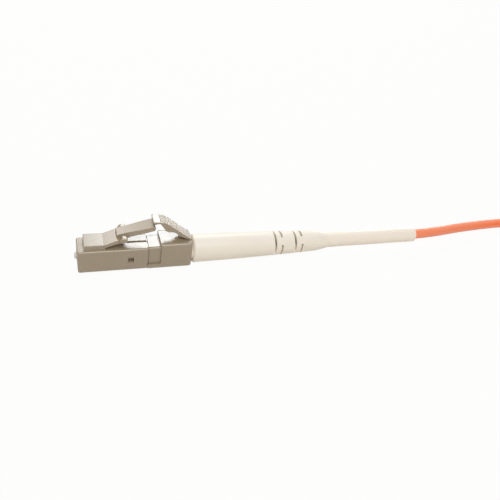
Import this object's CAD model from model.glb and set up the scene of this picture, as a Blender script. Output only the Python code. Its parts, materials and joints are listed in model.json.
"""Looks of the fibre optic pigtail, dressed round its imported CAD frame.

Every length in a dataclass is in millimetres in the CAD frame: X runs from the ferrule's tip towards the
cable, Z is up on the latch side, and the origin is the centre of the ferrule's end face.
"""
import json
import logging
import math
from dataclasses import dataclass
from enum import Enum
from typing import ClassVar

import bpy
from mathutils import Matrix, Vector, noise

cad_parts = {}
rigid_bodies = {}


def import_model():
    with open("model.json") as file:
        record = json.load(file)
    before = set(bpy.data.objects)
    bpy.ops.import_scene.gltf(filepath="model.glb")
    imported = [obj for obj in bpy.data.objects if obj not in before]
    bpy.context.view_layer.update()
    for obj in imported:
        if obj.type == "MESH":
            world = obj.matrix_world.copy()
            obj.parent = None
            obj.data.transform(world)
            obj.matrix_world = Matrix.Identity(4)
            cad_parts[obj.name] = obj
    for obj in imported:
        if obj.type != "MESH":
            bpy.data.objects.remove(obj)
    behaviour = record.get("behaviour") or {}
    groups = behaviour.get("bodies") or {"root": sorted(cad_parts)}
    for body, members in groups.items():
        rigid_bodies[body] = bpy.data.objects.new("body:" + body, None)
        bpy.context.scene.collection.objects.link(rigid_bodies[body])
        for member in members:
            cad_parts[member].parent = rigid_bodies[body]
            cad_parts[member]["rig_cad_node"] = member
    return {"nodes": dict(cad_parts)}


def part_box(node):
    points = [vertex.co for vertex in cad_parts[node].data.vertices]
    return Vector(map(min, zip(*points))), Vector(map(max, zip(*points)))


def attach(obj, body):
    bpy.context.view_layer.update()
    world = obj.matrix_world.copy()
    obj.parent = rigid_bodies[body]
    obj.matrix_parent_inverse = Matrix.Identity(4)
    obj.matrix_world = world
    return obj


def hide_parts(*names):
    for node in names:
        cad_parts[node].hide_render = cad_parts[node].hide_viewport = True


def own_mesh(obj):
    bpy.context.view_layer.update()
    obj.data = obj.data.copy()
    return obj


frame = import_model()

log = logging.getLogger("pigtail")

# Metres in a millimetre, and degrees in a quarter turn.
MM = 0.001
QUARTER_TURN = 90
WHITE = (1.0, 1.0, 1.0)
# Body of the CAD model that carries every piece made here.
PLUG = "plug"
Point = tuple[float, float, float]
Colour = tuple[float, float, float]
Span = tuple[float, float]
Face = tuple[int, ...]


class Slot(str, Enum):
    """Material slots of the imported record."""

    BEIGE = "beige_plastic"
    CERAMIC = "ceramic"
    STEEL = "steel"
    GLASS = "glass"
    BUFFER = "buffer"
    BRASS = "plated_brass"
    YARN = "yarn"
    CRIMP = "crimp"
    BOOT = "boot"
    SLEEVE = "sleeve"
    JACKET = "jacket"
    TIE = "tie"


class Sum(str, Enum):
    """Sums that the nodes work out, by Blender's names."""

    TIMES = "MULTIPLY"
    LESS = "SUBTRACT"
    SIZE = "ABSOLUTE"
    LARGER = "MAXIMUM"


class Detail(float, Enum):
    """Octaves of finer noise on the blotches of a pattern."""

    SMOOTH = 2.0
    PLAIN = 3.0
    FINE = 4.0


def linear(red: int, green: int, blue: int) -> Colour:
    """Colour from screen values of 0 to 255.

    Args:
        red: Screen value of red.
        green: Screen value of green.
        blue: Screen value of blue.

    Returns:
        The same colour in linear light.
    """
    full = 255
    toe, toe_slope = 0.04045, 12.92
    offset, power = 0.055, 2.4

    def channel(value: int) -> float:
        """One channel in linear light."""
        share = value / full
        return share / toe_slope if share <= toe else ((share + offset) / (1 + offset)) ** power

    return channel(red), channel(green), channel(blue)


def shaded(colour: Colour, share: float) -> tuple[Colour, Colour]:
    """A colour, and the darker one that keeps a share of its light."""
    return colour, tuple(share * channel for channel in colour)


def ease(share: float) -> float:
    """Smooth step from 0 to 1."""
    share = min(1.0, max(0.0, share))
    return share * share * (3 - 2 * share)


class NodeGraph:
    """The nodes of a material or of the world, with short calls for those that the finishes share."""

    # The colour sockets of the mix node share their names with its other sockets, so they go by number.
    MIX_FIRST = 6
    MIX_SECOND = 7
    MIX_RESULT = 2
    EDGE_SAMPLES = 16

    def __init__(self, name: str = "", tree: bpy.types.NodeTree | None = None) -> None:
        """Start a material with a plain shader, or take up a tree that exists.

        Args:
            name: Name of the new material.
            tree: Tree to work in, in place of a new material's.
        """
        self.material = None
        if tree is None:
            self.material = bpy.data.materials.new(name)
            self.material.use_nodes = True
            tree = self.material.node_tree
        self.nodes = tree.nodes
        self.links = tree.links
        self.shader = self.nodes.get("Principled BSDF")

    def add(self, kind: str, **inputs: object) -> bpy.types.Node:
        """Add a node and fill its sockets.

        Args:
            kind: Blender's name for the node's type.
            **inputs: Values or output sockets, by socket name with underscores for spaces.

        Returns:
            The new node.
        """
        node = self.nodes.new(kind)
        for name, value in inputs.items():
            self.fill(node.inputs[name.replace("_", " ")], value)
        return node

    def fill(self, socket: bpy.types.NodeSocket, value: object) -> None:
        """Set a socket to a value, or link it to an output.

        Args:
            socket: Socket to fill.
            value: Value, colour of three channels, or output socket.
        """
        if isinstance(value, bpy.types.NodeSocket):
            self.links.new(value, socket)
        elif isinstance(value, tuple) and len(value) == 3 and socket.type == "RGBA":
            socket.default_value = (*value, 1.0)
        else:
            socket.default_value = value

    def set(self, **inputs: object) -> None:
        """Fill sockets of the shader, by name with underscores for spaces."""
        for name, value in inputs.items():
            self.fill(self.shader.inputs[name.replace("_", " ")], value)

    def maths(self, operation: Sum, first: object, second: object) -> bpy.types.NodeSocket:
        """Result of a sum on two values or sockets.

        Args:
            operation: The sum.
            first: First value or socket.
            second: Second value or socket.

        Returns:
            The result.
        """
        node = self.add("ShaderNodeMath")
        node.operation = operation.value
        self.fill(node.inputs[0], first)
        self.fill(node.inputs[1], second)
        return node.outputs[0]

    def place(self, draw: float = 1.0) -> bpy.types.NodeSocket:
        """The point's place in the object's own frame.

        Args:
            draw: Scale of its X, for marks that run along the cable.

        Returns:
            The place, in metres.
        """
        place = self.add("ShaderNodeTexCoord").outputs["Object"]
        if draw == 1.0:
            return place
        return self.add("ShaderNodeMapping", Vector=place, Scale=(draw, 1.0, 1.0)).outputs["Vector"]

    def span(self, value: bpy.types.NodeSocket, ends: Span) -> bpy.types.NodeSocket:
        """A value from 0 to 1 spread over a range of its own."""
        return self.add("ShaderNodeMapRange", Value=value, To_Min=ends[0], To_Max=ends[1]).outputs["Result"]

    def ramp(self, length: bpy.types.NodeSocket, start: float, end: float) -> bpy.types.NodeSocket:
        """Share that goes from 0 where a length is start to 1 where it is end, both in millimetres."""
        node = self.add("ShaderNodeMapRange", Value=length, From_Min=start * MM, From_Max=end * MM)
        return node.outputs["Result"]

    def tint(
        self, share: bpy.types.NodeSocket, first: Colour | bpy.types.NodeSocket, second: Colour
    ) -> bpy.types.NodeSocket:
        """A colour between two others.

        Args:
            share: How far it is from the first colour to the second, from 0 to 1.
            first: Colour at 0.
            second: Colour at 1.

        Returns:
            The mixed colour.
        """
        node = self.add("ShaderNodeMix")
        node.data_type = "RGBA"
        self.fill(node.inputs["Factor"], share)
        self.fill(node.inputs[self.MIX_FIRST], first)
        self.fill(node.inputs[self.MIX_SECOND], second)
        return node.outputs[self.MIX_RESULT]

    def relief(self, height: bpy.types.NodeSocket, depth: float, edge: float = 0.0) -> None:
        """Give the surface a fine relief.

        Args:
            height: Height at each place, from 0 to 1.
            depth: Height of 1 in millimetres.
            edge: Softness of the edges, in millimetres.
        """
        bump = self.add("ShaderNodeBump", Height=height, Strength=1.0, Distance=depth * MM)
        if edge:
            soft = self.add("ShaderNodeBevel", Radius=edge * MM)
            soft.samples = self.EDGE_SAMPLES
            self.fill(bump.inputs["Normal"], soft.outputs["Normal"])
        self.set(Normal=bump.outputs["Normal"])

    def show_white(self, shader: bpy.types.Node, kind: str, share: float, output: str) -> None:
        """Show white to the camera, a gloss or a glass, and leave the light that falls on the object.

        Args:
            shader: Shader that the white is mixed into.
            kind: Blender's name for the type of the white node.
            share: Share of white where it shows.
            output: Name of the tree's last node.
        """
        path = self.add("ShaderNodeLightPath").outputs
        direct = self.maths(Sum.LARGER, path["Is Camera Ray"], path["Is Glossy Ray"])
        seen = self.maths(Sum.LARGER, direct, path["Is Transmission Ray"])
        white = self.add(kind, Color=WHITE, Strength=1.0)
        mix = self.add("ShaderNodeMixShader")
        self.fill(mix.inputs[0], self.maths(Sum.TIMES, seen, share))
        self.fill(mix.inputs[1], shader.outputs[0])
        self.fill(mix.inputs[2], white.outputs[0])
        self.fill(self.nodes[output].inputs["Surface"], mix.outputs[0])


class Pattern:
    """How a value is spread over a surface."""

    def spread(self, graph: NodeGraph) -> bpy.types.NodeSocket:
        """Value from 0 to 1 at each place, which each kind of pattern gives."""
        raise NotImplementedError


@dataclass(frozen=True)
class Blotches(Pattern):
    """Soft blotches, which can be drawn out along the cable.

    Attributes:
        size: Size of a blotch across the cable.
        detail: Octaves of finer noise on it.
        draw: Scale along the cable, which draws the blotches out where it is under 1.
    """

    size: float
    detail: Detail = Detail.PLAIN
    draw: float = 1.0

    def spread(self, graph: NodeGraph) -> bpy.types.NodeSocket:
        """Value of the blotches at each place.

        Args:
            graph: Nodes to work in.

        Returns:
            The value, from 0 to 1.
        """
        place = graph.place(self.draw)
        scale = 1 / (self.size * MM)
        node = graph.add("ShaderNodeTexNoise", Vector=place, Scale=scale, Detail=self.detail.value)
        return node.outputs["Fac"]


@dataclass(frozen=True)
class Rings(Pattern):
    """Fine rings round the fibre, as a lathe leaves them.

    Attributes:
        distance: Distance between the rings.
        waver: How much they waver.
    """

    # Length of one band of the wave texture at a scale of 1, in metres.
    BAND: ClassVar[float] = 0.31

    distance: float = 0.05
    waver: float = 0.6

    def spread(self, graph: NodeGraph) -> bpy.types.NodeSocket:
        """Height of the rings at each place.

        Args:
            graph: Nodes to work in.

        Returns:
            The height, from 0 to 1.
        """
        scale = self.BAND / (self.distance * MM)
        node = graph.add("ShaderNodeTexWave", Vector=graph.place(), Scale=scale, Distortion=self.waver)
        node.bands_direction = "X"
        return node.outputs["Fac"]


@dataclass(frozen=True)
class Loops(Pattern):
    """Small loops of thread.

    Attributes:
        distance: Distance between the loops.
    """

    distance: float = 0.22

    def spread(self, graph: NodeGraph) -> bpy.types.NodeSocket:
        """Distance of each place from the middle of its loop."""
        node = graph.add("ShaderNodeTexVoronoi", Vector=graph.place(), Scale=1 / (self.distance * MM))
        return node.outputs["Distance"]


@dataclass(frozen=True)
class Finish:
    """Finish of a surface: two colours, a range of roughness and a relief, each spread by a pattern.

    Attributes:
        name: Name of the material.
        colour: Main colour.
        shade: Colour it drifts to.
        tone: Pattern of the two colours.
        roughness: Lowest and highest roughness.
        polish: Pattern of the roughness.
        grain: Pattern of the relief, or None for a plain surface.
        depth: Height of the relief.
        edge: Softness of the edges.
        gloss: Specular level of the surface.
        sheen: Strength of the sheen.
    """

    name: str
    colour: Colour
    shade: Colour
    tone: Pattern
    roughness: Span
    polish: Pattern
    grain: Pattern | None = None
    depth: float = 0.0
    edge: float = 0.0
    gloss: float = 0.5
    sheen: float = 0.0

    def material(self) -> bpy.types.Material:
        """Build the material.

        Returns:
            The new material.
        """
        graph = NodeGraph(self.name)
        graph.set(
            Base_Color=self.base(graph),
            Roughness=graph.span(self.polish.spread(graph), self.roughness),
            Specular_IOR_Level=self.gloss,
            Sheen_Weight=self.sheen,
            **self.sockets(),
        )
        if self.grain:
            graph.relief(self.grain.spread(graph), self.depth, self.edge)
        return graph.material

    def base(self, graph: NodeGraph) -> bpy.types.NodeSocket:
        """Colour at each place."""
        return graph.tint(self.tone.spread(graph), self.colour, self.shade)

    def sockets(self) -> dict[str, float | Point]:
        """Values that only this kind of finish gives its shader, by socket."""
        return {}


@dataclass(frozen=True)
class MouldedPlastic(Finish):
    """Satin moulding with a fine spark-eroded grain and a little unevenness of colour."""

    tone: Pattern = Blotches(2.2, Detail.FINE)
    roughness: Span = (0.28, 0.34)
    polish: Pattern = Blotches(0.6)
    grain: Pattern = Blotches(0.08, Detail.SMOOTH)
    depth: float = 0.0004
    edge: float = 0.06
    gloss: float = 1.0


@dataclass(frozen=True)
class BootRubber(Finish):
    """Soft moulded rubber: matt, with faint flow marks along the boot and dust down in its flex slots.

    Attributes:
        dust: Colour down in the slots.
        slots: Stretch along the cable that has the slots.
        slot_fade: Length over which the dust begins and ends along the cable.
        slot_floor: Radius of the slots' floor.
        slot_rim: Radius at which the dust ends.
        dust_height: Height over the fibre at which the slots hold most dust.
        dust_reach: Distances from that height at which the dust thins and ends.
    """

    tone: Pattern = Blotches(1.6, Detail.FINE, draw=0.25)
    roughness: Span = (0.36, 0.5)
    polish: Pattern = Blotches(0.9)
    grain: Pattern = Blotches(0.14)
    depth: float = 0.002
    gloss: float = 0.9
    dust: Colour = linear(130, 118, 100)
    slots: Span = (35.5, 42.5)
    slot_fade: float = 0.1
    slot_floor: float = 1.5
    slot_rim: float = 2.0
    dust_height: float = 1.0
    dust_reach: Span = (0.2, 0.9)

    def base(self, graph: NodeGraph) -> bpy.types.NodeSocket:
        """Colour at each place, with the dust."""
        return graph.tint(self.dust_share(graph), super().base(graph), self.dust)

    def dust_share(self, graph: NodeGraph) -> bpy.types.NodeSocket:
        """Share of dust at each place.

        Args:
            graph: Nodes to work in.

        Returns:
            1 where the slots' floor holds most dust, and 0 outside the slots.
        """
        axes = graph.add("ShaderNodeSeparateXYZ", Vector=graph.place()).outputs
        radius = graph.add("ShaderNodeVectorMath")
        radius.operation = "LENGTH"
        graph.fill(radius.inputs[0], graph.place(draw=0.0))
        off = graph.maths(Sum.SIZE, graph.maths(Sum.LESS, axes["Z"], self.dust_height * MM), 0.0)
        start, end = self.slots
        thin, none = self.dust_reach
        share = graph.ramp(radius.outputs["Value"], self.slot_rim, self.slot_floor)
        for factor in (
            graph.ramp(off, none, thin),
            graph.ramp(axes["X"], start, start + self.slot_fade),
            graph.ramp(axes["X"], end, end - self.slot_fade),
        ):
            share = graph.maths(Sum.TIMES, share, factor)
        return share


@dataclass(frozen=True)
class ShrinkFilm(Finish):
    """Shrunk film: smooth, with long faint draw marks and a soft sheen."""

    tone: Pattern = Blotches(2.6)
    roughness: Span = (0.32, 0.48)
    polish: Pattern = Blotches(0.7, draw=0.08)
    grain: Pattern = polish
    depth: float = 0.006
    gloss: float = 0.9


@dataclass(frozen=True)
class CableJacket(Finish):
    """Extruded jacket: smooth, with faint mottling, a soft sheen and a little glow from inside.

    Attributes:
        glow: Share of the light that comes back from inside.
        reach: How far that light spreads.
        bleed: Shares of the reach that red, green and blue have.
    """

    tone: Pattern = Blotches(3.5)
    roughness: Span = (0.36, 0.5)
    polish: Pattern = Blotches(1.2)
    grain: Pattern = Blotches(0.35, Detail.SMOOTH)
    depth: float = 0.004
    gloss: float = 1.0
    glow: float = 0.15
    reach: float = 0.5
    bleed: Colour = (1.0, 0.5, 0.3)

    def sockets(self) -> dict[str, float | Point]:
        """Values of the glow, by socket."""
        scale = self.reach * MM
        return {"Subsurface_Weight": self.glow, "Subsurface_Scale": scale, "Subsurface_Radius": self.bleed}


@dataclass(frozen=True)
class TurnedMetal(Finish):
    """Metal turned on a lathe, with fine rings."""

    tone: Pattern = Blotches(0.8)
    roughness: Span = (0.24, 0.38)
    polish: Pattern = Rings()
    grain: Pattern = polish
    depth: float = 0.002

    def sockets(self) -> dict[str, float | Point]:
        """Value that makes it metal, by socket."""
        return {"Metallic": 1.0}


@dataclass(frozen=True)
class PolishedCeramic(Finish):
    """Dense white ceramic, ground and polished."""

    tone: Pattern = Blotches(0.5)
    roughness: Span = (0.1, 0.2)
    polish: Pattern = Blotches(0.2)
    grain: Pattern = Blotches(0.06)
    depth: float = 0.001


@dataclass(frozen=True)
class ClearGlass(Finish):
    """Drawn glass.

    Attributes:
        index: Refractive index.
    """

    tone: Pattern = Blotches(0.3)
    roughness: Span = (0.02, 0.08)
    polish: Pattern = Blotches(0.1)
    index: float = 1.46

    def sockets(self) -> dict[str, float | Point]:
        """Values that make it clear, by socket."""
        return {"IOR": self.index, "Transmission_Weight": 1.0}


@dataclass(frozen=True)
class LooseYarn(Finish):
    """Loose yarn: fine fibres along the cable."""

    tone: Pattern = Blotches(0.06, Detail.FINE, draw=0.08)
    roughness: Span = (0.75, 0.95)
    polish: Pattern = tone
    grain: Pattern = tone
    depth: float = 0.03
    sheen: float = 0.3


@dataclass(frozen=True)
class LoopFabric(Finish):
    """Napped strap: small loops of thread, with paler tips."""

    tone: Pattern = Blotches(0.09, Detail.FINE)
    roughness: Span = (0.8, 1.0)
    polish: Pattern = tone
    grain: Pattern = Loops()
    depth: float = 0.09
    sheen: float = 0.5


class Finishes:
    """One material for each slot of the record, made once and shared by the pieces."""

    RECIPES: ClassVar[dict[Slot, Finish]] = {
        Slot.BEIGE: MouldedPlastic("beige_moulding", linear(163, 147, 123), linear(156, 140, 116)),
        Slot.CERAMIC: PolishedCeramic("ferrule_ceramic", *shaded(linear(236, 233, 226), share=0.95)),
        Slot.STEEL: TurnedMetal("turned_steel", *shaded((0.62, 0.62, 0.63), share=0.86)),
        Slot.GLASS: ClearGlass("fibre_glass", (0.95, 0.98, 1.0), (0.88, 0.94, 1.0)),
        Slot.BUFFER: MouldedPlastic("buffer_coat", linear(232, 231, 224), linear(222, 220, 211)),
        Slot.BRASS: TurnedMetal(
            "nickel_plate", *shaded((0.32, 0.27, 0.19), share=0.86), roughness=(0.36, 0.5)
        ),
        Slot.YARN: LooseYarn("aramid_yarn", linear(226, 196, 98), linear(186, 150, 58)),
        Slot.CRIMP: TurnedMetal(
            "crimp_metal", *shaded((0.74, 0.74, 0.75), share=0.86), roughness=(0.3, 0.44)
        ),
        Slot.BOOT: BootRubber("boot_rubber", linear(250, 243, 231), linear(246, 237, 222)),
        Slot.SLEEVE: ShrinkFilm("shrink_sleeve", linear(252, 243, 231), linear(250, 238, 223)),
        Slot.JACKET: CableJacket("orange_jacket", linear(255, 142, 93), linear(255, 136, 87)),
        Slot.TIE: LoopFabric("strap_loops", linear(24, 24, 26), linear(58, 58, 61)),
    }

    def __init__(self) -> None:
        """Start with no material made."""
        self._made: dict[Slot, bpy.types.Material] = {}

    def get(self, slot: Slot) -> bpy.types.Material:
        """The slot's material, made on first use.

        Args:
            slot: Slot of the record.

        Returns:
            Its material.
        """
        if slot not in self._made:
            self._made[slot] = self.RECIPES[slot].material()
        return self._made[slot]

    def dress(self, piece: bpy.types.Object, slot: Slot) -> None:
        """Give a whole piece one finish, and name the slot of a new piece.

        Args:
            piece: Piece to dress.
            slot: Finish to give it.
        """
        piece.data.materials.clear()
        piece.data.materials.append(self.get(slot))
        log.info("dressed %s with %s", piece.name, slot.value)

    def dress_nodes(self, slots: dict[str, Slot]) -> None:
        """Dress CAD solids, each with the finish given for its node's name."""
        for name, slot in slots.items():
            self.dress(frame["nodes"][name], slot)


def add_mesh(name: str, points: list[Vector], faces: list[Face]) -> bpy.types.Object:
    """Make a smooth piece of a mesh and let it ride on the plug.

    Args:
        name: Name of the piece.
        points: Its points, in millimetres.
        faces: Its faces, as numbers of points.

    Returns:
        The new piece.
    """
    mesh = bpy.data.meshes.new(name)
    mesh.from_pydata([tuple(p * MM) for p in points], [], faces)
    mesh.polygons.foreach_set("use_smooth", [True] * len(mesh.polygons))
    mesh.validate()
    piece = bpy.data.objects.new(name, mesh)
    bpy.context.scene.collection.objects.link(piece)
    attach(piece, PLUG)
    return piece


def tube_faces(sections: int, ring: int) -> list[Face]:
    """Faces of a tube whose points go round one section after another, closed at both ends.

    Args:
        sections: Number of sections.
        ring: Points in each section.

    Returns:
        The faces, as numbers of points.
    """
    faces: list[Face] = []
    for i in range(sections - 1):
        here = i * ring
        for k in range(ring):
            after = (k + 1) % ring
            faces.append((here + k, here + ring + k, here + ring + after, here + after))
    faces.append(tuple(range(ring)))
    faces.append(tuple((sections - 1) * ring + k for k in reversed(range(ring))))
    return faces


@dataclass
class PlugShell:
    """Square plug body and the clip behind it.

    Attributes:
        mouldings: CAD solids of the shell.
    """

    mouldings: tuple[str, ...] = ("front_housing", "rear_clip")

    def build(self, finishes: Finishes) -> None:
        """Dress both mouldings."""
        finishes.dress_nodes(dict.fromkeys(self.mouldings, Slot.BEIGE))


@dataclass
class LatchAndTrigger:
    """Latch arm on the plug and the thumb lever that presses it.

    Attributes:
        mouldings: CAD solids that move.
    """

    mouldings: tuple[str, ...] = ("latch_arm", "trigger_lever")

    def build(self, finishes: Finishes) -> None:
        """Dress both mouldings."""
        finishes.dress_nodes(dict.fromkeys(self.mouldings, Slot.BEIGE))


@dataclass
class FerruleUnit:
    """Ceramic ferrule with its collar and fibre, which float in the plug, and the spring behind them.

    Attributes:
        spring_diameter: Outside diameter of the spring.
        wire: Thickness of its wire.
        live_turns: Open turns of the spring.
        dead_turns: Closed turns at each of its ends.
        travel: How far the ferrule floats back.
        around: Points round the wire.
        per_turn: Sections of the wire in one turn.
    """

    spring_diameter: float = 2.5
    wire: float = 0.32
    live_turns: float = 4.5
    dead_turns: float = 0.9
    travel: float = 0.8
    around: int = 12
    per_turn: int = 28

    def build(self, finishes: Finishes) -> None:
        """Dress each of its solids and wind the spring.

        Args:
            finishes: Materials to dress them with.
        """
        finishes.dress_nodes({
            "ferrule": Slot.CERAMIC,
            "ferrule_collar": Slot.STEEL,
            "glass_fibre": Slot.GLASS,
            "tight_buffer": Slot.BUFFER,
        })
        self.wind_spring(finishes)

    def spring_line(self, front: float, rear: float) -> list[tuple[float, float]]:
        """Middle line of the spring's wire.

        Args:
            front: Front end of the spring.
            rear: Rear end of the spring.

        Returns:
            Angle round the fibre and place along it, for each section of the wire.
        """
        total = self.live_turns + 2 * self.dead_turns
        closed = self.dead_turns * self.wire
        pitch = (rear - front - self.wire / 2 - 2 * closed) / self.live_turns
        steps = round(total * self.per_turn)
        line = []
        # A quarter of the wire's thickness is ground off at each end.
        for i in range(steps + 1):
            turn = total * i / steps
            dead = min(turn, self.dead_turns) + max(0.0, turn - self.dead_turns - self.live_turns)
            along = front + self.wire / 4 + dead * self.wire + (turn - dead) * pitch
            line.append((2 * math.pi * turn, along))
        return line

    def wind_spring(self, finishes: Finishes) -> None:
        """Wind the spring from round wire with ends ground flat, and let it shorten with the ferrule.

        Args:
            finishes: Materials to dress it with.
        """
        low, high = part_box("ferrule_spring")
        front, rear = low[0] / MM, high[0] / MM
        coil = (self.spring_diameter - self.wire) / 2
        line = self.spring_line(front, rear)
        points = []
        for angle, along in line:
            for k in range(self.around):
                turn = 2 * math.pi * k / self.around
                radius = coil + self.wire / 2 * math.cos(turn)
                x = min(rear, max(front, along + self.wire / 2 * math.sin(turn)))
                points.append(Vector((x, radius * math.cos(angle), radius * math.sin(angle))))
        spring = add_mesh("coil_spring", points, tube_faces(len(line), self.around))
        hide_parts("ferrule_spring")
        finishes.dress(spring, Slot.STEEL)
        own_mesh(spring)


@dataclass
class CrimpEnd:
    """Stop body, yarn, crimp sleeve and boot, and the start of the cable that they hold."""

    def build(self, finishes: Finishes) -> None:
        """Dress each of its solids.

        Args:
            finishes: Materials to dress them with.
        """
        finishes.dress_nodes({
            "stop_body": Slot.BRASS,
            "aramid_yarn": Slot.YARN,
            "crimp_sleeve": Slot.CRIMP,
            "boot": Slot.BOOT,
            "cable_lead": Slot.JACKET,
        })


@dataclass
class MarkerSleeve:
    """Bare shrink sleeve behind the boot, a little uneven from its shrinking.

    Attributes:
        start: Its front end.
        end: Its rear end.
        bore: Radius of its hole.
        radius: Its largest radius.
        lip: Roundness of its ends.
        lip_steps: Steps round each end.
        lip_share: Share of the film's unevenness at its ends.
        sink: How far the film sinks in where it has shrunk most.
        wave: Length of a wave of the film.
        wave_radius: Radius at which the waves are read.
        around: Points round it.
        along: Rings along it.
    """

    start: float = 47.42
    end: float = 67.7
    bore: float = 1.01
    radius: float = 1.5
    lip: float = 0.08
    lip_steps: int = 6
    lip_share: float = 0.6
    sink: float = 0.05
    wave: float = 2.4
    wave_radius: float = 1.8
    around: int = 56
    along: int = 110

    def profile(self) -> list[tuple[float, float, float]]:
        """Half section of the sleeve.

        Returns:
            Places along it with their radius and the share of the film's unevenness there.
        """
        turns = [math.radians(QUARTER_TURN * i / self.lip_steps) for i in range(self.lip_steps + 1)]
        lip = [(self.lip * (1 - math.sin(a)), self.radius - self.lip * (1 - math.cos(a))) for a in turns]
        run = self.end - self.start - 2 * self.lip
        rows = [(self.start, self.bore, 0.0)]
        rows += [(self.start + inset, radius, self.lip_share) for inset, radius in reversed(lip)]
        for i in range(1, self.along):
            rows.append((self.start + self.lip + run * i / self.along, self.radius, 1.0))
        rows += [(self.end - inset, radius, self.lip_share) for inset, radius in lip]
        rows.append((self.end, self.bore, 0.0))
        return rows

    def build(self, finishes: Finishes) -> None:
        """Turn the section round the cable, and let the film sink in here and there.

        Args:
            finishes: Materials to dress it with.
        """
        points = []
        faces: list[Face] = []
        rows = self.profile()
        for i, (x, radius, share) in enumerate(rows):
            here = i * self.around
            there = (i + 1) % len(rows) * self.around
            for k in range(self.around):
                angle = 2 * math.pi * k / self.around
                y, z = math.cos(angle), math.sin(angle)
                spot = Vector((x, self.wave_radius * y, self.wave_radius * z)) / self.wave
                drop = share * self.sink * (0.5 + 0.5 * noise.noise(spot))
                points.append(Vector((x, (radius - drop) * y, (radius - drop) * z)))
                after = (k + 1) % self.around
                faces.append((here + k, here + after, there + after, there + k))
        sleeve = add_mesh("shrink_sleeve", points, faces)
        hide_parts("marker_sleeve")
        finishes.dress(sleeve, Slot.SLEEVE)


@dataclass
class HankStrap:
    """Hook-and-loop strap round the hank's waist, with its end lapped over its start.

    Attributes:
        middle: Its middle along the cable.
        side: Middle of the hank across the cable.
        half_width: Half the width of the bundle of strands.
        low: Underside of the bundle.
        high: Top of the bundle.
        corner: Roundness of the bundle's corners.
        corner_steps: Steps round each corner.
        width: Width of the strap.
        thickness: Thickness of the strap.
        columns: Places of its points across it, as shares of half its width.
        flat: Share of its half width that is flat.
        edge: Roundness of its long edges, as a share of its thickness.
        lap: Length of the end that lies over the start.
        lap_height: Height of that end over the bundle, as a share of the thickness.
        rise: Length over which the end climbs on to the start.
        tongue: Length of the rounded tip.
        tip: Share of the width that the tip's end has.
        step: Distance between the strap's sections.
    """

    middle: float = 120.15
    side: float = -4.65
    half_width: float = 4.2
    low: float = -2.1
    high: float = 5.9
    corner: float = 1.2
    corner_steps: int = 12
    width: float = 5.9
    thickness: float = 0.42
    columns: tuple[float, ...] = (-1.0, -0.94, -0.8, -0.4, 0.0, 0.4, 0.8, 0.94, 1.0)
    flat: float = 0.8
    edge: float = 0.4
    lap: float = 5.2
    lap_height: float = 1.06
    rise: float = 1.8
    tongue: float = 1.6
    tip: float = 0.45
    step: float = 0.3

    def outline(self) -> list[tuple[Vector, Vector]]:
        """Line round the bundle, from the middle of its top, as runs between rounded corners.

        Returns:
            Places and outward directions, once round and back to the first.
        """
        half = self.half_width - self.corner
        bottom = self.low + self.corner
        top = self.high - self.corner
        centres = ((half, top), (half, bottom), (-half, bottom), (-half, top))
        line = [(Vector((0.0, self.high)), Vector((0.0, 1.0)))]
        for number, centre in enumerate(centres):
            for i in range(self.corner_steps + 1):
                angle = math.radians(QUARTER_TURN * (1 - number - i / self.corner_steps))
                outward = Vector((math.cos(angle), math.sin(angle)))
                line.append((Vector(centre) + self.corner * outward, outward))
        return line + line[:1]

    def loop(self) -> list[tuple[Vector, Vector]]:
        """The line round the bundle at even steps.

        Returns:
            Places and outward directions, once round.
        """
        line = self.outline()
        even = [line[0]]
        left = self.step
        for (a, a_out), (b, b_out) in zip(line, line[1:]):
            length = (b - a).length
            while left < length:
                share = left / length
                even.append((a.lerp(b, share), a_out.lerp(b_out, share).normalized()))
                left += self.step
            left -= length
        return even

    def section(self, place: Vector, outward: Vector, lift: float, shrink: float) -> list[Vector]:
        """Points round one section of the strap.

        Args:
            place: Place on the bundle, across the cable and up.
            outward: Direction outward there.
            lift: Height of the strap's underside over the bundle.
            shrink: Share of the strap's width there.

        Returns:
            Points of the inner side, then of the outer side the other way.
        """
        rows = []
        for outer in (True, False):
            for share in self.columns if outer else reversed(self.columns):
                soft = self.edge * max(0.0, (abs(share) - self.flat) / (1 - self.flat)) ** 2
                depth = 1.0 - soft if outer else soft
                spot = place + outward * (lift + self.thickness * depth)
                across = self.width / 2 * share * shrink
                rows.append(Vector((self.middle + across, self.side + spot.x, spot.y)))
        return rows[::-1]

    def build(self, finishes: Finishes) -> bpy.types.Object:
        """Wind the strap once round and lap its end.

        Args:
            finishes: Materials to dress it with.

        Returns:
            The strap.
        """
        loop = self.loop()
        turn = len(loop)
        total = turn + round(self.lap / self.step)
        climb = round(self.rise / self.step)
        points = []
        for i in range(total):
            place, outward = loop[i % turn]
            lift = self.lap_height * self.thickness * ease((i - turn + climb) / climb)
            left = min(1.0, (total - 1 - i) * self.step / self.tongue)
            shrink = self.tip + (1 - self.tip) * math.sqrt(1 - (1 - left) ** 2)
            points += self.section(place, outward, lift, shrink)
        strap = add_mesh("hank_strap", points, tube_faces(total, 2 * len(self.columns)))
        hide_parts("hank_tie")
        finishes.dress(strap, Slot.TIE)
        return strap


@dataclass(frozen=True)
class Station:
    """One place round a turn of the hank.

    Attributes:
        along: Distance along the hank from the middle of the first fold.
        side: 1 on the far run and the fold after it, -1 on the near run and the fold after that.
        angle: Angle round a fold, or None on a run.
        share: Share of the turn that lies before it.
    """

    along: float
    side: int
    angle: float | None
    share: float


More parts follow.
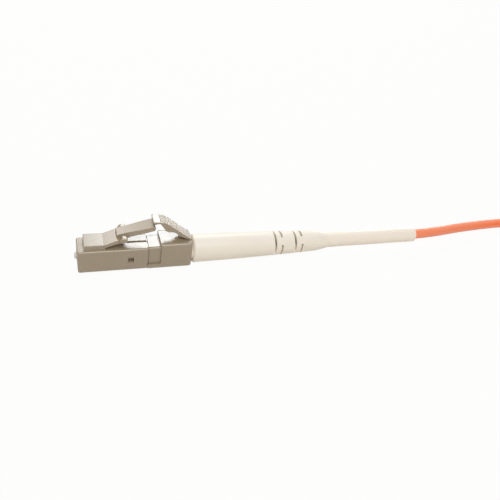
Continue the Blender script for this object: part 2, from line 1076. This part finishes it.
@dataclass
class Cable:
    """Free cable from the sleeve, and the hank that holds the rest of its length.

    Attributes:
        diameter: Cable's thickness.
        length: Length from the sleeve to the bare end.
        route: Points from the sleeve to the hank.
        fold_start: Middle of the first fold, at the height of the lowest strand.
        run: Distance between the middles of the two folds.
        side_steps: Steps between control points along each side of a turn.
        fold_steps: Steps between control points round each fold.
        outer_fold: Radius of a fold of the outer ring.
        inner_fold: Radius of a fold of the inner ring.
        outer_waist: Distance of an outer strand from the hank's middle line at the strap.
        inner_waist: Distance of an inner strand from it there.
        waist_length: Length of the straight waist.
        waist_lift: Height of the waist above the surface, for the strap under it.
        turns: Turns of each ring.
        climb: Share of a turn at which the outer ring starts to climb, and the share that this takes.
        crossing: The same for the move from the outer ring to the inner one.
        descent: The same for the way down of the inner ring.
        bevel_steps: Blender's steps round the cable.
        line_steps: Blender's steps from one control point to the next.
    """

    diameter: float = 2.0
    length: float = 931.0
    route: tuple[Point, ...] = (
        (67.7, 0.0, 0.0),
        (72.5, 0.3, -0.1),
        (78.9, 1.9, -0.75),
        (85.5, 3.15, -1.25),
        (92.5, 3.95, -1.55),
        (101.5, 4.15, -1.6),
    )
    fold_start: Point = (104.5, -4.65, -1.6)
    run: float = 31.3
    side_steps: int = 8
    fold_steps: int = 6
    outer_fold: float = 8.8
    inner_fold: float = 6.75
    outer_waist: float = 3.15
    inner_waist: float = 1.05
    waist_length: float = 5.0
    waist_lift: float = 0.5
    turns: int = 4
    climb: Span = (0.8, 0.18)
    crossing: Span = (0.62, 0.16)
    descent: Span = (0.4, 0.18)
    bevel_steps: int = 6
    line_steps: int = 5

    def stations(self) -> list[Station]:
        """Places round one turn of the hank, from the first fold along the far side.

        Returns:
            The places in order: far run, second fold, near run and first fold.
        """
        places: list[tuple[float, int, float | None]] = []
        for side in (1, -1):
            for i in range(self.side_steps + 1):
                share = i / self.side_steps
                places.append((self.run * (share if side > 0 else 1 - share), side, None))
            for k in range(1, self.fold_steps):
                angle = QUARTER_TURN * (side - 2 * k / self.fold_steps)
                places.append((self.run if side > 0 else 0.0, side, math.radians(angle)))
        return [Station(*place, share=i / len(places)) for i, place in enumerate(places)]

    def ring_place(self, turn: int, share: float) -> tuple[float, float]:
        """Level and ring of a place in the hank.

        The outer ring climbs a strand at the end of each turn, its last turn moves in, and the inner
        ring comes down again, so that the strands lie beside and on each other.

        Args:
            turn: Number of the turn, outer ring first.
            share: Share of the turn.

        Returns:
            Number of strands below the place, and 0 on the outer ring to 1 on the inner one.
        """

        def done(change: Span) -> float:
            """How far a change of level or ring is done there."""
            return ease((share - change[0]) / change[1])

        last = turn % self.turns == self.turns - 1
        if turn < self.turns:
            return (turn, done(self.crossing)) if last else (turn + done(self.climb), 0.0)
        level = 2 * self.turns - 1 - turn
        return (level, 1.0) if last else (level - done(self.descent), 1.0)

    def turn_points(self, turn: int) -> list[Point]:
        """Points of one turn of the hank.

        Args:
            turn: Number of the turn, outer ring first.

        Returns:
            The turn's points, in millimetres.
        """
        x0, y0, z0 = self.fold_start
        half = self.run / 2
        half_waist = self.waist_length / 2
        # Control points round a fold stand outside it, so that the lines between them touch it.
        corner = math.cos(math.radians(QUARTER_TURN / self.fold_steps))
        points = []
        for stop in self.stations():
            level, inward = self.ring_place(turn, stop.share)
            fold = self.outer_fold + (self.inner_fold - self.outer_fold) * inward
            waist = self.outer_waist + (self.inner_waist - self.outer_waist) * inward
            x = x0 + stop.along
            z = z0 + level * self.diameter
            if stop.angle is None:
                spread = ease((abs(stop.along - half) - half_waist) / (half - half_waist))
                y = y0 + stop.side * (waist + (fold - waist) * spread)
                points.append((x, y, z + self.waist_lift * (1 - spread)))
            else:
                reach = fold / corner
                points.append((x + reach * math.cos(stop.angle), y0 + reach * math.sin(stop.angle), z))
        return points

    def control_points(self) -> list[Point]:
        """Every control point of the cable.

        Returns:
            The points from the sleeve to the bare end, which lies where the last run ends.
        """
        points = list(self.route)
        for turn in range(2 * self.turns):
            points += self.turn_points(turn)
        last_fold = self.fold_steps - 1
        return points[:-last_fold]

    def build(self, finishes: Finishes, strap: bpy.types.Object) -> None:
        """Build the cable as one smooth spline.

        Args:
            finishes: Materials to dress it with.
            strap: Strap that ties its hank.
        """
        curve = bpy.data.curves.new("cable", "CURVE")
        curve.dimensions = "3D"
        # With a depth of 1, the radius of each control point is the cable's own.
        curve.bevel_depth = 1.0
        curve.bevel_resolution = self.bevel_steps
        curve.resolution_u = self.line_steps
        curve.use_fill_caps = True
        points = self.control_points()
        spline = curve.splines.new("NURBS")
        spline.points.add(len(points) - 1)
        for target, (x, y, z) in zip(spline.points, points):
            target.co = (x * MM, y * MM, z * MM, 1.0)
            target.radius = self.diameter / 2 * MM
        spline.order_u = 3
        spline.use_endpoint_u = True
        cable = bpy.data.objects.new("cable", curve)
        bpy.context.scene.collection.objects.link(cable)
        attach(cable, PLUG)
        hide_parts("cable_run", "cable_hank")
        finishes.dress(cable, Slot.JACKET)


@dataclass(frozen=True)
class Lamp:
    """One square lamp that faces the boot.

    Attributes:
        name: Name of the lamp.
        place: Place of the lamp.
        side: Side of its square.
        power: Power, in watts.
        colour: Colour of its light.
        target: Place that it faces.
    """

    name: str
    place: Point
    side: float
    power: float
    colour: Colour = WHITE
    target: Point = (30.0, 0.0, 0.0)

    def hang(self) -> None:
        """Hang the lamp."""
        data = bpy.data.lights.new(self.name, "AREA")
        data.size = self.side * MM
        data.energy = self.power
        data.color = self.colour
        lamp = bpy.data.objects.new(self.name, data)
        lamp.location = Vector(self.place) * MM
        aim = Vector(self.target) - Vector(self.place)
        lamp.rotation_euler = aim.to_track_quat("-Z", "Y").to_euler()
        bpy.context.scene.collection.objects.link(lamp)


@dataclass
class Studio:
    """Floor, lights and the camera at the photograph's view.

    Attributes:
        floor_level: Height of the floor.
        floor_half: Half the side of the floor.
        floor_colour: Colour of the floor as a surface.
        floor_roughness: Roughness of the floor.
        floor_white: Share of plain white in what the camera sees of the floor.
        sky_colour: Colour of the even light all round.
        sky_strength: Strength of it.
        lamps: Lamps of the studio.
        azimuth: Camera's turn about the upright axis, in degrees.
        elevation: Camera's height over the horizon, in degrees.
        roll: Camera's turn about its own axis, in degrees.
        camera_place: Place of the camera.
        sensor: Width of the camera's sensor.
        focal_share: Focal length over the sensor's width.
        clip: Nearest and furthest distance that the camera shows.
    """

    floor_level: float = -2.6
    floor_half: float = 3000.0
    floor_colour: Colour = (0.78, 0.73, 0.65)
    floor_roughness: float = 0.9
    floor_white: float = 0.95
    sky_colour: Colour = (1.0, 0.96, 0.9)
    sky_strength: float = 0.34
    lamps: tuple[Lamp, ...] = (
        Lamp("key", (114.0, 461.0, 369.0), side=135.0, power=0.98, colour=(0.9, 0.96, 1.0)),
        Lamp("back_left", (-175.0, 460.0, 340.0), side=150.0, power=0.58),
        Lamp("overhead", (10.0, -290.0, 490.0), side=300.0, power=1.4),
        Lamp("rim", (400.0, 490.0, 40.0), side=120.0, power=0.38),
        Lamp("fill", (-200.0, -520.0, 300.0), side=400.0, power=0.2),
    )
    azimuth: float = -23.422
    elevation: float = 37.507
    roll: float = 10.983
    camera_place: Point = (-1.646, -77.793, 63.697)
    sensor: float = 36.0
    focal_share: float = 1.12
    clip: Span = (5.0, 20000.0)

    def build(self) -> None:
        """Build the whole studio."""
        bpy.context.scene.view_settings.view_transform = "Standard"
        self.build_floor()
        self.build_world()
        for lamp in self.lamps:
            lamp.hang()
        self.build_camera()
        log.info("built studio")

    def build_floor(self) -> None:
        """Lay a wide pale floor that the camera sees as nearly white, with the object's shadow on it."""
        half = self.floor_half * MM
        level = self.floor_level * MM
        corners = [(-half, -half, level), (half, -half, level), (half, half, level), (-half, half, level)]
        mesh = bpy.data.meshes.new("floor")
        mesh.from_pydata(corners, [], [(0, 1, 2, 3)])
        floor = bpy.data.objects.new("floor", mesh)
        bpy.context.scene.collection.objects.link(floor)
        graph = NodeGraph("pale_floor")
        graph.set(Base_Color=self.floor_colour, Roughness=self.floor_roughness)
        graph.show_white(
            graph.shader, "ShaderNodeEmission", share=self.floor_white, output="Material Output"
        )
        mesh.materials.append(graph.material)

    def build_world(self) -> None:
        """Surround the scene with even light that shows as plain white."""
        world = bpy.data.worlds.new("studio")
        bpy.context.scene.world = world
        world.use_nodes = True
        graph = NodeGraph(tree=world.node_tree)
        light = graph.nodes["Background"]
        graph.fill(light.inputs["Color"], self.sky_colour)
        graph.fill(light.inputs["Strength"], self.sky_strength)
        graph.show_white(light, "ShaderNodeBackground", share=1.0, output="World Output")

    def build_camera(self) -> None:
        """Set the camera at the photograph's view."""
        turn = math.radians(self.azimuth)
        rise = math.radians(self.elevation)
        right = Vector((math.cos(turn), math.sin(turn), 0.0))
        level = math.cos(rise)
        back = Vector((math.sin(turn) * level, -math.cos(turn) * level, math.sin(rise)))
        rolled = Matrix.Rotation(math.radians(self.roll), 3, back) @ right
        up = back.cross(rolled)
        data = bpy.data.cameras.new("camera")
        data.sensor_width = self.sensor
        data.lens = self.focal_share * self.sensor
        data.clip_start, data.clip_end = (distance * MM for distance in self.clip)
        camera = bpy.data.objects.new("camera", data)
        axes = Matrix((rolled, up, back)).transposed().to_4x4()
        camera.matrix_world = Matrix.Translation(Vector(self.camera_place) * MM) @ axes
        bpy.context.scene.collection.objects.link(camera)
        bpy.context.scene.camera = camera


def main() -> None:
    """Build every piece in order, then note the CAD box and the dressed box."""
    logging.basicConfig(level=logging.INFO, format="%(name)s: %(message)s")
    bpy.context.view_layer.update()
    finishes = Finishes()
    Studio().build()
    strap = HankStrap().build(finishes)
    Cable().build(finishes, strap)
    MarkerSleeve().build(finishes)
    for part in (PlugShell(), LatchAndTrigger(), FerruleUnit(), CrimpEnd()):
        part.build(finishes)
    bpy.context.view_layer.update()


if __name__ == "__main__":
    main()
